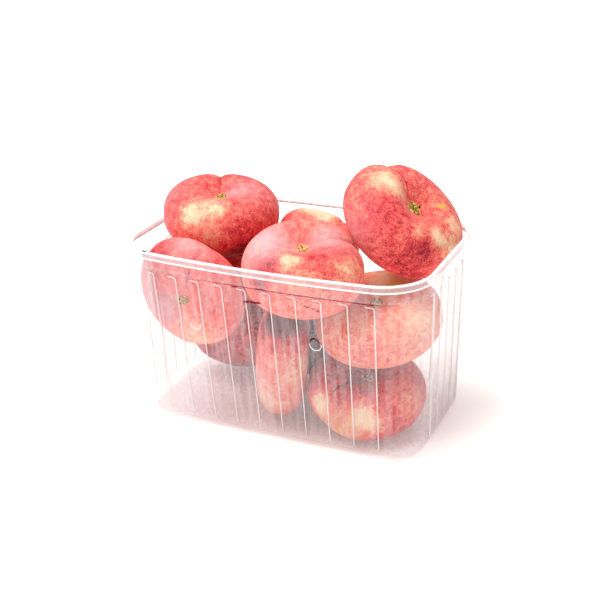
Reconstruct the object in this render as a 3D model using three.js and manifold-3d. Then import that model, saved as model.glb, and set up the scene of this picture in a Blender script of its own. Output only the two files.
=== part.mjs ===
// A clear plastic punnet filled with eleven flat (doughnut) peaches.
//
// Millimetres, +Z up. X runs along the punnet's long side and -Y is its front.
// The origin is the middle of the underside, so the punnet stands on Z = 0.
// The punnet is one thin-walled, open tray. Each peach is a solid of its own, laid in
// the place where it rests against the tray and its neighbours.

import * as THREE from 'three';
import { mergeVertices } from 'three/addons/utils/BufferGeometryUtils.js';
import Module from 'manifold-3d';

const wasm = await Module();
wasm.setup();

// ---------------------------------------------------------------- punnet sizes

const HEIGHT = 113; // floor to the top of the rim
const SHEET = 0.7; // wall thickness

const TOP_HALF_LENGTH = 91.7; // outside of the wall at the rim
const TOP_HALF_WIDTH = 56.2; // the same, at the corners of the long sides
const BASE_HALF_LENGTH = 90.5; // where the wall, without its foot, would meet the floor
const BASE_HALF_WIDTH = 46.7;
const TOP_CORNER = 25; // corner radius at the rim
const BASE_CORNER = 16;
const TOP_BOW = 6; // the weight of the fruit pushes the long sides out this far at the rim

const FOOT_RADIUS = 6; // rounding from the wall into the base
const FOOT_HEIGHTS = [0, 0.9, 2.7]; // the rounding is drawn through these heights
const BAND_BOTTOM = 101.7; // the smooth band under the rim starts here
const BAND_STEP = 0.6; // and stands this far out from the ribbed wall
const BAND_CHAMFER = 0.9;

const LIP_OUT = 1.9; // the rim turns out by this much
const LIP_DROP = 4.3; // and then down by this much
const LIP_CHAMFER = 0.6;

const RIB_PITCH_LONG = 15.1;
const RIB_PITCH_SHORT = 14;
const RIBS_LONG_SIDE = 10;
const RIBS_SHORT_SIDE = 5;
const RIB_ROW_SHIFT = -2.3; // the long rows sit this far left of the middle
const RIB_HALF_WIDTH = 2.8;
const RIB_DEPTH = 1;
const RIB_TOP = 99.6;
const RIB_SHOULDER = 96.4; // the rib has its full depth up to here
const RIB_FOOT = 8;
const RIB_LEAN_LONG = 0.995; // the spacing of the ribs at the base, against the rim
const RIB_LEAN_SHORT = 0.9;
const CORNER_STEPS = 5; // points round each corner

const VENT_X = [-43, 33]; // two crescent vents, each in the front wall
const VENT_Z = 72;
const VENT_RADIUS = 3.4;
const VENT_FLAP_DROP = 1.5; // the flap is the same circle, this much lower
const VENT_SIDES = 20;
const VENT_REACH = 20; // length of the cutter through the wall

// ---------------------------------------------------------------- peach sizes

const AROUND = 28; // facets round the axis
const DOWN = 14; // facets from the stem end to the blossom end
const POLE_CROWDING = 1.45; // rings crowd towards the stem cavity
const SEAM_CROWDING = 0.45; // and facets crowd towards the seam
const SQUARENESS = 2.5; // 2 is an ellipsoid, higher is more like a cushion
const TRIANGULAR = 0.012; // three soft corners, and one side thicker than the other

const CHEEK_SWELL = 0.02; // the two cheeks beside the seam, as a share of the radius
const CHEEK_TURN = 0.75; // where they are, in radians from the seam
const CHEEK_SPREAD = 0.5;

const CAVITY_SPREAD = 0.33; // width of the stem cavity, as a share of the radius
const STUB_HEIGHT = 2; // what is left of the stalk in the cavity
const STUB_SPREAD = 0.06;
const BLOSSOM_DEPTH = 0.4; // depth of the dimple below, against the stem cavity
const BLOSSOM_SPREAD = 0.3;

const SEAM_MIDDLE = 55; // the seam is deepest this many degrees from the stem axis
const SEAM_FADE = 58; // and fades over this many
const SEAM_SPREAD = 0.2; // its width, in radians about the axis
const SEAM_START = 12; // it has its full depth from this far out of the cavity

// Each peach: where its middle lies, how its stem axis leans from upright and towards
// which compass angle (0 is +X, 90 is +Y), where its seam points, its width and
// thickness, how deep its stem cavity and its seam are, and how oval it is, with the
// compass angle of its longest diameter.
const PEACHES = [
  { name: 'peach_back_left', at: [-55.5, 5.6, 117.3], lean: 8, toward: -50, seam: 118,
    width: 70.5, thick: 40, cavity: 9, crease: 3, oval: 0.01, longest: 20 },
  { name: 'peach_front_left', at: [-53.6, -38.3, 82.5], lean: 99, toward: -96, seam: 60,
    width: 69, thick: 31, cavity: 6, crease: 2, oval: 0.01, longest: 0 },
  { name: 'peach_front_middle', at: [12.4, -24.4, 101.8], lean: 16, toward: -72, seam: 35,
    width: 69, thick: 45, cavity: 9, crease: 3, oval: 0.03, longest: 5 },
  { name: 'peach_back_right', at: [56.3, 22.1, 121], lean: 39, toward: -13, seam: 150,
    width: 75, thick: 42, cavity: 10, crease: 5, oval: 0.02, longest: -13 },
  { name: 'peach_back_middle', at: [-3.2, 32.3, 95.6], lean: 20, toward: 20, seam: 60,
    width: 50.5, thick: 38, cavity: 7, crease: 2.5, oval: 0.05, longest: 0 },
  { name: 'peach_right', at: [49.3, 2.2, 65.5], lean: 15, toward: -104, seam: -160,
    width: 76, thick: 39, cavity: 8, crease: 2.5, oval: 0.01, longest: 0 },
  { name: 'peach_bottom_right', at: [46.5, -10, 22.4], lean: 15, toward: -55, seam: -120,
    width: 70.5, thick: 37, cavity: 8, crease: 2, oval: 0.01, longest: 30 },
  { name: 'peach_bottom_middle', at: [-6.8, -13.8, 37.2], lean: 94, toward: 22, seam: 80,
    width: 70, thick: 34.6, cavity: 7, crease: 2, oval: 0.01, longest: 0 },
  { name: 'peach_bottom_left', at: [-54.8, 19.8, 31.1], lean: 56, toward: 104, seam: 140,
    width: 60.6, thick: 35.5, cavity: 7, crease: 2.5, oval: 0.01, longest: 90 },
  { name: 'peach_left', at: [-50.9, 18, 76.4], lean: 5, toward: 30, seam: -60,
    width: 68, thick: 34, cavity: 8, crease: 2.5, oval: 0.02, longest: 90 },
  { name: 'peach_bottom_back', at: [4.5, 32.8, 31.6], lean: 100, toward: 90, seam: 30,
    width: 60, thick: 28, cavity: 6, crease: 2, oval: 0.01, longest: 0 },
];

// ---------------------------------------------------------------- materials

const clearPlastic = new THREE.MeshStandardMaterial({
  color: '#eef0f1', roughness: 0.12, metalness: 0, transparent: true, opacity: 0.35,
});
const peachSkin = new THREE.MeshStandardMaterial({
  color: '#d0464c', roughness: 0.6, metalness: 0,
});

// ---------------------------------------------------------------- helpers

const radians = THREE.MathUtils.degToRad;
const mix = THREE.MathUtils.lerp;

// A bell curve: 1 at zero, falling away over the given width.
function bell(distance, width) {
  return Math.exp(-((distance / width) ** 2));
}

// Rings of points, joined by quads, closed at both ends by a point.
function closedSkin(firstPoint, rings, lastPoint) {
  const positions = [...firstPoint];
  rings.forEach((ring) => ring.forEach((point) => positions.push(...point)));
  positions.push(...lastPoint);
  const count = rings[0].length;
  const last = 1 + rings.length * count;
  const at = (ring, step) => 1 + ring * count + (step % count);
  const faces = [];
  for (let step = 0; step < count; step += 1) {
    faces.push(0, at(0, step), at(0, step + 1));
    for (let ring = 0; ring + 1 < rings.length; ring += 1) {
      faces.push(at(ring, step), at(ring + 1, step), at(ring + 1, step + 1));
      faces.push(at(ring, step), at(ring + 1, step + 1), at(ring, step + 1));
    }
    faces.push(last, at(rings.length - 1, step + 1), at(rings.length - 1, step));
  }
  const geometry = new THREE.BufferGeometry();
  geometry.setAttribute('position', new THREE.Float32BufferAttribute(positions, 3));
  geometry.setIndex(faces);
  return geometry;
}

function toManifold(geometry) {
  const bare = geometry.clone();
  bare.deleteAttribute('normal');
  bare.deleteAttribute('uv');
  const merged = mergeVertices(bare);
  return new wasm.Manifold(new wasm.Mesh({
    numProp: 3,
    vertProperties: new Float32Array(merged.getAttribute('position').array),
    triVerts: new Uint32Array(merged.getIndex().array),
  }));
}

function toGeometry(solid) {
  const mesh = solid.getMesh();
  const geometry = new THREE.BufferGeometry();
  geometry.setAttribute('position', new THREE.BufferAttribute(mesh.vertProperties, 3));
  geometry.setIndex(new THREE.BufferAttribute(mesh.triVerts, 1));
  return geometry;
}

function namedMesh(name, geometry, material) {
  geometry.computeVertexNormals();
  const mesh = new THREE.Mesh(geometry, material);
  mesh.name = name;
  return mesh;
}

// ---------------------------------------------------------------- punnet

// The middles of the ribs along one side, from left to right, at a height.
function ribMiddles(count, pitch, lean, shift, z) {
  const closing = mix(lean, 1, z / HEIGHT);
  return Array.from({ length: count }, (_, i) => (
    (i - (count - 1) / 2) * pitch * closing + shift));
}

// One round of the wall, anticlockwise from the front left corner. `inset` moves the
// whole round inwards, and `rib` is how far the ribs stand out from it.
function wallRound(z, inset, rib) {
  const up = z / HEIGHT;
  const halfLength = mix(BASE_HALF_LENGTH, TOP_HALF_LENGTH, up) - inset;
  const halfWidth = mix(BASE_HALF_WIDTH, TOP_HALF_WIDTH, up) - inset;
  const corner = mix(BASE_CORNER, TOP_CORNER, up) - inset;
  const cornerX = halfLength - corner;
  const cornerY = halfWidth - corner;
  const bow = (x) => TOP_BOW * up * (1 - (x / halfLength) ** 2);
  const arc = (past) => Math.sqrt(corner ** 2 - Math.max(0, past) ** 2);
  const sideY = (x) => cornerY + arc(Math.abs(x) - cornerX) + bow(x);
  const endX = (y) => cornerX + arc(Math.abs(y) - cornerY);

  // Each rib is three points: its two edges and its crest.
  const ribs = (middles, toPoint) => middles.flatMap((middle) => [-1, 0, 1].map((edge) => (
    toPoint(middle + edge * RIB_HALF_WIDTH, edge === 0 ? rib : 0))));
  const longRibs = ribMiddles(RIBS_LONG_SIDE, RIB_PITCH_LONG, RIB_LEAN_LONG, RIB_ROW_SHIFT, z);
  const shortRibs = ribMiddles(RIBS_SHORT_SIDE, RIB_PITCH_SHORT, RIB_LEAN_SHORT, 0, z);
  const front = ribs(longRibs, (x, out) => [x, -sideY(x) - out]);
  const right = ribs(shortRibs, (y, out) => [endX(y) + out, y]);

  // The corner between the last rib of the front and the first of the right end.
  const lastX = longRibs.at(-1) + RIB_HALF_WIDTH;
  const lastY = shortRibs.at(-1) + RIB_HALF_WIDTH;
  const startAngle = Math.asin(Math.max(0, lastX - cornerX) / corner);
  const endAngle = Math.acos(Math.max(0, lastY - cornerY) / corner);
  const frontRight = Array.from({ length: CORNER_STEPS }, (_, i) => {
    const angle = mix(startAngle, endAngle, (i + 0.5) / CORNER_STEPS);
    const x = cornerX + corner * Math.sin(angle);
    return [x, -(cornerY + corner * Math.cos(angle)) - bow(x)];
  });

  // Front and right end, then the same turned half round for the back and left end.
  const backRight = frontRight.map(([x, y]) => [x, -y]).reverse();
  const half = [...front, ...frontRight, ...right, ...backRight];
  return [...half, ...half.map(([x, y]) => [-x, -y])].map(([x, y]) => [x, y, z]);
}

// The rounded foot: how far in from the wall the sheet is at a height above it.
function footInset(z, radius) {
  const below = Math.max(radius - z, 0);
  return radius - Math.sqrt(radius ** 2 - below ** 2);
}

// The rounds of the whole tray, from the inner floor up, over the lip and down outside.
function punnetRounds() {
  const ribSteps = [[RIB_FOOT, RIB_DEPTH], [RIB_SHOULDER, RIB_DEPTH], [RIB_TOP, 0]];
  const bandTop = BAND_BOTTOM + BAND_CHAMFER;
  const inner = FOOT_RADIUS - SHEET;

  const inside = [
    ...FOOT_HEIGHTS.map((z) => (
      wallRound(z + SHEET, SHEET + BAND_STEP + footInset(z, inner), 0))),
    ...ribSteps.map(([z, rib]) => wallRound(z, SHEET + BAND_STEP, rib)),
    wallRound(BAND_BOTTOM, SHEET + BAND_STEP, 0),
    wallRound(bandTop, SHEET, 0),
  ];
  const lip = [
    wallRound(HEIGHT - LIP_CHAMFER, SHEET, 0),
    wallRound(HEIGHT, SHEET - LIP_CHAMFER, 0),
    wallRound(HEIGHT, LIP_CHAMFER - LIP_OUT, 0),
    wallRound(HEIGHT - LIP_CHAMFER, -LIP_OUT, 0),
    wallRound(HEIGHT - LIP_DROP, -LIP_OUT, 0),
    wallRound(HEIGHT - LIP_DROP, SHEET - LIP_OUT, 0),
    wallRound(HEIGHT - SHEET, SHEET - LIP_OUT, 0),
    wallRound(HEIGHT - SHEET, 0, 0),
  ];
  const outside = [
    ...FOOT_HEIGHTS.map((z) => wallRound(z, BAND_STEP + footInset(z, FOOT_RADIUS), 0)),
    ...ribSteps.map(([z, rib]) => wallRound(z, BAND_STEP, rib)),
    wallRound(BAND_BOTTOM, BAND_STEP, 0),
    wallRound(bandTop, 0, 0),
  ];
  return [...inside, ...lip, ...outside.reverse()];
}

// A crescent bar that reaches through the front wall: a disc less its own flap.
function ventCutter(x) {
  const disc = (z, length) => {
    const bar = new THREE.CylinderGeometry(VENT_RADIUS, VENT_RADIUS, length, VENT_SIDES);
    bar.translate(x, -(BASE_HALF_WIDTH + TOP_HALF_WIDTH) / 2, z);
    return toManifold(bar);
  };
  return disc(VENT_Z, VENT_REACH).subtract(disc(VENT_Z - VENT_FLAP_DROP, 2 * VENT_REACH));
}

function makePunnet() {
  const tray = toManifold(closedSkin([0, 0, SHEET], punnetRounds(), [0, 0, 0]));
  const cut = VENT_X.reduce((solid, x) => solid.subtract(ventCutter(x)), tray);
  return namedMesh('punnet', toGeometry(cut), clearPlastic);
}

// ---------------------------------------------------------------- peaches

// One point of a peach's skin. `polar` runs from the stem end (0) to the blossom end
// (PI) and `turn` is the angle from the seam.
function skinPoint(peach, polar, turn) {
  const radius = peach.width / 2;
  const half = peach.thick / 2;
  const power = 2 / SQUARENESS;
  const fromSeam = Math.atan2(Math.sin(turn), Math.cos(turn));

  // The two cheeks beside the seam swell, and no two peaches are alike.
  const cheeks = CHEEK_SWELL * bell(Math.abs(fromSeam) - CHEEK_TURN, CHEEK_SPREAD);
  const oval = peach.oval * Math.cos(2 * (turn - radians(peach.longest - peach.seam)));
  const plan = 1 + oval + cheeks + TRIANGULAR * Math.cos(3 * turn + radius);
  const lift = 1 + TRIANGULAR * Math.cos(turn + radius);

  let outward = radius * plan * Math.sin(polar) ** power;
  let upward = half * lift * Math.sign(Math.cos(polar)) * Math.abs(Math.cos(polar)) ** power;

  // Stem cavity above, blossom dimple below.
  if (upward > 0) {
    upward -= peach.cavity * bell(outward, CAVITY_SPREAD * radius);
    upward += STUB_HEIGHT * bell(outward, STUB_SPREAD * radius);
  } else {
    upward += BLOSSOM_DEPTH * peach.cavity * bell(outward, BLOSSOM_SPREAD * radius);
  }

  // The seam runs from the cavity over the shoulder and fades below the middle.
  const along = bell(polar - radians(SEAM_MIDDLE), radians(SEAM_FADE));
  const start = Math.min(1, outward / SEAM_START);
  const crease = peach.crease * along * start * bell(fromSeam, SEAM_SPREAD);
  const reach = Math.hypot(outward, upward);
  const shrink = reach > 0 ? 1 - crease / reach : 1;
  outward *= shrink;
  upward *= shrink;
  return [outward * Math.cos(turn), outward * Math.sin(turn), upward];
}

function makePeach(peach) {
  const rings = [];
  for (let row = 1; row < DOWN; row += 1) {
    const polar = Math.PI * (row / DOWN) ** POLE_CROWDING;
    const ring = [];
    for (let step = 0; step < AROUND; step += 1) {
      const even = (2 * Math.PI * step) / AROUND;
      ring.push(skinPoint(peach, polar, even - SEAM_CROWDING * Math.sin(even)));
    }
    rings.push(ring);
  }
  const top = skinPoint(peach, 0, 0);
  const bottom = skinPoint(peach, Math.PI, 0);
  const mesh = namedMesh(peach.name, closedSkin(top, rings, bottom), peachSkin);

  const zAxis = new THREE.Vector3(0, 0, 1);
  const yAxis = new THREE.Vector3(0, 1, 0);
  const about = (axis, degrees) => (
    new THREE.Quaternion().setFromAxisAngle(axis, radians(degrees)));
  mesh.quaternion
    .multiply(about(zAxis, peach.toward))
    .multiply(about(yAxis, peach.lean))
    .multiply(about(zAxis, peach.seam - peach.toward));
  mesh.position.set(...peach.at);
  return mesh;
}

// ---------------------------------------------------------------- assembly

const punnetOfPeaches = new THREE.Group();
punnetOfPeaches.add(makePunnet());
PEACHES.forEach((peach) => punnetOfPeaches.add(makePeach(peach)));

export default punnetOfPeaches;
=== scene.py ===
"""The looks of a clear plastic punnet heaped with eleven flat (doughnut) peaches.

Each peach is the same cushion as its solid, drawn finely, with its own blush, painted lilac sheen
and stalk scar; parts of the blush are painted shade. The tray is one thin sheet of clear plastic with pressed
ribs.
Sizes in the tables are millimetres and degrees; the meshes are in metres.
"""

import math

import bpy
import numpy as np
from mathutils import Matrix, Vector


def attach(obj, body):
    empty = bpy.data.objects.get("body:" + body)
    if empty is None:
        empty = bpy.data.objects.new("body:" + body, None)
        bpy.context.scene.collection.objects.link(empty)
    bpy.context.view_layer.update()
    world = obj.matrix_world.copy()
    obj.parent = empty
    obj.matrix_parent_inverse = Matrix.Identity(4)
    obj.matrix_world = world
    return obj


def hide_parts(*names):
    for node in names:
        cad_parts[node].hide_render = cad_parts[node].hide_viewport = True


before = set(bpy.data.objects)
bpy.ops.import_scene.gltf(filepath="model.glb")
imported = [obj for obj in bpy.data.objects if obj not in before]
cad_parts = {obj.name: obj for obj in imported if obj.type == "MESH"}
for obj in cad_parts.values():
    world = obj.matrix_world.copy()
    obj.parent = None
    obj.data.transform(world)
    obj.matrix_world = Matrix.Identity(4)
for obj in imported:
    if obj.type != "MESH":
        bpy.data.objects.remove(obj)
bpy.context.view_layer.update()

MM = 0.001

# ---------------------------------------------------------------- camera and light

AIM = Vector((0, 0, 60)) * MM
DISTANCE = 674.86 * MM
TURN, TILT, ROLL = -24.472, 24.189, -1.193  # degrees, read from the rim and the ribs
LENS = 66.29
SHIFT = (-0.0033, 0.0260)

scene = bpy.context.scene


def stand_camera():
    """The camera in front of the punnet, a little to its right and above it."""
    turn, tilt, roll = (math.radians(a) for a in (TURN, TILT, ROLL))
    level_reach = math.cos(tilt)
    ahead = Vector((math.sin(turn) * level_reach, math.cos(turn) * level_reach, -math.sin(tilt)))
    level = Vector((math.cos(turn), -math.sin(turn), 0))
    upright = level.cross(ahead)
    across = math.cos(roll) * level + math.sin(roll) * upright
    upwards = math.cos(roll) * upright - math.sin(roll) * level
    lens = bpy.data.cameras.new("camera")
    lens.sensor_width = 36
    lens.lens = LENS
    lens.shift_x, lens.shift_y = SHIFT
    lens.clip_start, lens.clip_end = 0.01, 20
    camera = bpy.data.objects.new("camera", lens)
    scene.collection.objects.link(camera)
    axes = Matrix((across, upwards, -ahead)).transposed().to_4x4()
    camera.matrix_world = Matrix.Translation(AIM - ahead * DISTANCE) @ axes
    scene.camera = camera


stand_camera()


def linear(colour):
    """A web colour such as #F3D2A4 as linear red, green and blue, with full alpha."""
    shares = [int(colour[i : i + 2], 16) / 255 for i in (1, 3, 5)]
    return [s / 12.92 if s <= 0.04045 else ((s + 0.055) / 1.055) ** 2.4 for s in shares] + [1.0]


def node(tree, kind, settings=None, links=None):
    """Adds a node, with its properties, input values and links."""
    made = tree.nodes.new(kind)
    for name, value in (settings or {}).items():
        if isinstance(name, str) and hasattr(made, name):
            setattr(made, name, value)
        else:
            made.inputs[name].default_value = value
    for name, source in (links or {}).items():
        tree.links.new(source, made.inputs[name])
    return made


def softbox(name, place, towards, size, power):
    """A square white lamp, in metres and watts."""
    lamp = bpy.data.lights.new(name, "AREA")
    lamp.shape = "SQUARE"
    lamp.size = size
    lamp.energy = power
    holder = bpy.data.objects.new(name, lamp)
    holder.location = place
    holder.rotation_euler = (Vector(towards) - Vector(place)).to_track_quat("-Z", "Y").to_euler()
    scene.collection.objects.link(holder)


world = bpy.data.worlds.new("white_studio")
scene.world = world
world.use_nodes = True
world.node_tree.nodes["Background"].inputs["Color"].default_value = linear("#FFFFFF")
# The room is brighter overhead than round the sides.
sky = node(world.node_tree, "ShaderNodeTexCoord").outputs["Generated"]
rise = node(world.node_tree, "ShaderNodeSeparateXYZ", None, {0: sky}).outputs["Z"]
glow = node(
    world.node_tree,
    "ShaderNodeMapRange",
    {"From Min": 0.1, "From Max": 0.9, "To Min": 0.16, "To Max": 0.85},
    {"Value": rise},
)
brightness = world.node_tree.nodes["Background"].inputs["Strength"]
world.node_tree.links.new(glow.outputs["Result"], brightness)
softbox("top_softbox", (-0.4, -0.2, 1.2), (0, 0, 0.06), 0.7, 14)
softbox("left_softbox", (-0.9, -0.9, 0.5), (0, 0, 0.08), 0.6, 2)
scene.view_settings.view_transform = "Standard"
scene.view_settings.look = "None"
scene.cycles.transparent_max_bounces = 40  # a view ray may cross many sheets and rib edges

# ---------------------------------------------------------------- helpers for meshes


def material(name):
    """A new material, with its node tree and its shader."""
    made = bpy.data.materials.new(name)
    made.use_nodes = True
    return made, made.node_tree, made.node_tree.nodes["Principled BSDF"]


def piece(name, points, faces, *materials, smooth=True):
    """A mesh object of that name from points in millimetres."""
    mesh = bpy.data.meshes.new(name)
    mesh.from_pydata((np.asarray(points) * MM).tolist(), [], [list(map(int, f)) for f in faces])
    mesh.polygons.foreach_set("use_smooth", [smooth] * len(mesh.polygons))
    for one in materials:
        mesh.materials.append(one)
    mesh.update()
    made = bpy.data.objects.new(name, mesh)
    scene.collection.objects.link(made)
    return made


def closed_skin(rings, count, first, last):
    """Faces of rings of `count` points, which follow point `first` and end at point `last`."""
    step = np.arange(count)
    after = (step + 1) % count
    start = 1 + np.arange(rings)[:, None] * count
    faces = [(first, a, b) for a, b in zip(start[0] + step, start[0] + after)]
    for ring in range(rings - 1):
        here, there = start[ring], start[ring + 1]
        faces += list(zip(here + step, there + step, there + after, here + after))
    faces += [(last, b, a) for a, b in zip(start[-1] + step, start[-1] + after)]
    return faces


def paint(mesh, name, values, kind="FLOAT"):
    """Stores one value, or one vector, for each point of a mesh."""
    layer = mesh.attributes.new(name, kind, "POINT")
    key = "vector" if kind == "FLOAT_VECTOR" else "value"
    layer.data.foreach_set(key, np.asarray(values, np.float32).ravel())


def bell(distance, width):
    """1 at no distance, falling off softly over the width."""
    return np.exp(-((distance / width) ** 2))


def ease(x):
    """From 0 to 1, level at both ends."""
    x = np.clip(x, 0, 1)
    return x * x * (3 - 2 * x)


# ---------------------------------------------------------------- materials

# Marks on the skin for each millimetre: flames, blotches, specks and single tufts of down.
FLAMES_PER_MM, BLOTCHES_PER_MM, SPECKS_PER_MM, DOWN_PER_MM = 0.42, 0.26, 1.1, 2.4
FLAME_WEIGHT, BLOTCH_WEIGHT, SPECK_WEIGHT = 1.5, 1.0, 0.8
SHEEN_ON_SPECKS, SHEEN_BETWEEN = 0.6, 0.35
# Skin, from unripe ground to full blush. The darkest end also stands in as painted shade.
GROUND, FULL_BLUSH_AND_SHADE = "#FADDBA", "#71161C"
RIPENING = ((0.2, "#F9C39C"), (0.4, "#F5957A"), (0.58, "#EE615C"), (0.76, "#D63B40"), (0.88, "#A92630"))


def downy_skin():
    """Skin of a ripe flat peach: matt, with short down.

    It gives the eye cream yellow ground, red blush that breaks up into flames running
    down from the stalk, and a painted lilac sheen where the down catches the light.
    """
    made, tree, shader = material("downy_peach_skin")
    grain = node(tree, "ShaderNodeAttribute", {"attribute_name": "grain"}).outputs["Vector"]
    flame = node(tree, "ShaderNodeAttribute", {"attribute_name": "flame"}).outputs["Vector"]
    blush = node(tree, "ShaderNodeAttribute", {"attribute_name": "blush"}).outputs["Fac"]
    painted_sheen = node(tree, "ShaderNodeAttribute", {"attribute_name": "painted_sheen"}).outputs["Fac"]
    straw = node(tree, "ShaderNodeAttribute", {"attribute_name": "straw"}).outputs["Fac"]

    # Flames about 2.4 mm wide, blotches of about 4 mm and specks of about 1 mm.
    flames = node(
        tree,
        "ShaderNodeTexNoise",
        {"Scale": FLAMES_PER_MM, "Detail": 4.0, "Roughness": 0.62},
        {"Vector": flame},
    )
    blotches = node(
        tree,
        "ShaderNodeTexNoise",
        {"Scale": BLOTCHES_PER_MM, "Detail": 5.0, "Roughness": 0.66},
        {"Vector": grain},
    )
    specks = node(
        tree,
        "ShaderNodeTexNoise",
        {"Scale": SPECKS_PER_MM, "Detail": 2.0, "Roughness": 0.6},
        {"Vector": grain},
    )
    # The marks are added to the blush, less their usual sum.
    flamed = node(
        tree,
        "ShaderNodeMath",
        {"operation": "MULTIPLY_ADD", 1: FLAME_WEIGHT, 2: -FLAME_WEIGHT / 2},
        {0: flames.outputs["Fac"]},
    )
    blotched = node(
        tree,
        "ShaderNodeMath",
        {"operation": "MULTIPLY_ADD", 1: BLOTCH_WEIGHT},
        {0: blotches.outputs["Fac"], 2: flamed.outputs[0]},
    )
    specked = node(
        tree,
        "ShaderNodeMath",
        {"operation": "MULTIPLY_ADD", 1: SPECK_WEIGHT},
        {0: specks.outputs["Fac"], 2: blotched.outputs[0]},
    )
    blushed = node(tree, "ShaderNodeMath", {"operation": "ADD"}, {0: specked.outputs[0], 1: blush})
    redness = node(
        tree,
        "ShaderNodeMath",
        {"operation": "SUBTRACT", 1: (BLOTCH_WEIGHT + SPECK_WEIGHT) / 2},
        {0: blushed.outputs[0]},
    )
    ramp = node(tree, "ShaderNodeValToRGB", None, {"Fac": redness.outputs[0]})
    stops = ramp.color_ramp.elements
    stops[0].color = linear(GROUND)
    stops[1].color = linear(FULL_BLUSH_AND_SHADE)
    for place, colour in RIPENING:
        stops.new(place).color = linear(colour)

    # Skin that leaves shaded stays straw yellow.
    shaded = node(
        tree,
        "ShaderNodeMix",
        {"data_type": "RGBA", 7: linear("#D9B44C")},
        {0: straw, 6: ramp.outputs["Color"]},
    )
    # The painted sheen lies thickest on the specks of down.
    veil = node(
        tree,
        "ShaderNodeMath",
        {"operation": "MULTIPLY_ADD", 1: SHEEN_ON_SPECKS, 2: SHEEN_BETWEEN},
        {0: specks.outputs["Fac"]},
    )
    amount = node(tree, "ShaderNodeMath", {"operation": "MULTIPLY"}, {0: veil.outputs[0], 1: painted_sheen})
    lilac = node(
        tree,
        "ShaderNodeMix",
        {"data_type": "RGBA", 7: linear("#D3BCC4")},
        {0: amount.outputs[0], 6: shaded.outputs[2]},
    )
    down = node(tree, "ShaderNodeTexNoise", {"Scale": DOWN_PER_MM, "Detail": 3.0}, {"Vector": grain})
    bump = node(
        tree,
        "ShaderNodeBump",
        {"Strength": 0.25, "Distance": 0.3 * MM},
        {"Height": down.outputs["Fac"]},
    )
    tree.links.new(lilac.outputs[2], shader.inputs["Base Color"])
    tree.links.new(bump.outputs["Normal"], shader.inputs["Normal"])
    shader.inputs["Roughness"].default_value = 0.62
    shader.inputs["IOR"].default_value = 1.42
    shader.inputs["Specular IOR Level"].default_value = 0.3
    shader.inputs["Sheen Weight"].default_value = 0.16
    shader.inputs["Sheen Roughness"].default_value = 0.45
    shader.inputs["Sheen Tint"].default_value = linear("#F6D9DC")
    return made


FIBRES_PER_MM = 0.75
FIBRE_WEIGHT, FIBRE_DARKENING, RING_WEIGHT = 2.6, -0.95, 0.3
# Torn stalk, from the darkest cork to the dry cream of the rim.
DARK_CORK, DRY_RIM = "#1A130C", "#F1E9BE"
TORN_STALK = ((0.28, "#3D2C14"), (0.45, "#7A6A22"), (0.62, "#D9C02C"), (0.8, "#E9D64A"))


def stalk_scar():
    """The dry, torn cup where the stalk came off.

    It gives the eye cork brown in the pit and yellow green on the rim.
    """
    made, tree, shader = material("dry_stalk_scar")
    ring = node(tree, "ShaderNodeAttribute", {"attribute_name": "blush"}).outputs["Fac"]
    grain = node(tree, "ShaderNodeAttribute", {"attribute_name": "grain"}).outputs["Vector"]
    # Torn fibres about 1.3 mm across: dark cork, with yellow and green bits of stalk between.
    fibres = node(
        tree,
        "ShaderNodeTexNoise",
        {"Scale": FIBRES_PER_MM, "Detail": 3.0, "Roughness": 0.7},
        {"Vector": grain},
    )
    torn = node(
        tree,
        "ShaderNodeMath",
        {"operation": "MULTIPLY_ADD", 1: FIBRE_WEIGHT, 2: FIBRE_DARKENING},
        {0: fibres.outputs["Fac"]},
    )
    tone = node(
        tree,
        "ShaderNodeMath",
        {"operation": "MULTIPLY_ADD", 1: RING_WEIGHT},
        {0: ring, 2: torn.outputs[0]},
    )
    ramp = node(tree, "ShaderNodeValToRGB", None, {"Fac": tone.outputs[0]})
    stops = ramp.color_ramp.elements
    stops[0].color = linear(DARK_CORK)
    stops[1].color = linear(DRY_RIM)
    for place, colour in TORN_STALK:
        stops.new(place).color = linear(colour)
    tree.links.new(ramp.outputs["Color"], shader.inputs["Base Color"])
    shader.inputs["Roughness"].default_value = 0.8
    return made


MARKS_PER_METRE, MARK_STRETCH = 400.0, 0.04
# How much the drawing marks and the slanting view cloud the sheet, and what is taken off for clearness.
MARK_VEIL, EDGE_VEIL, CLEARNESS = 0.4, 0.25, -0.11
PLASTIC_IOR = 1.57


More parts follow.
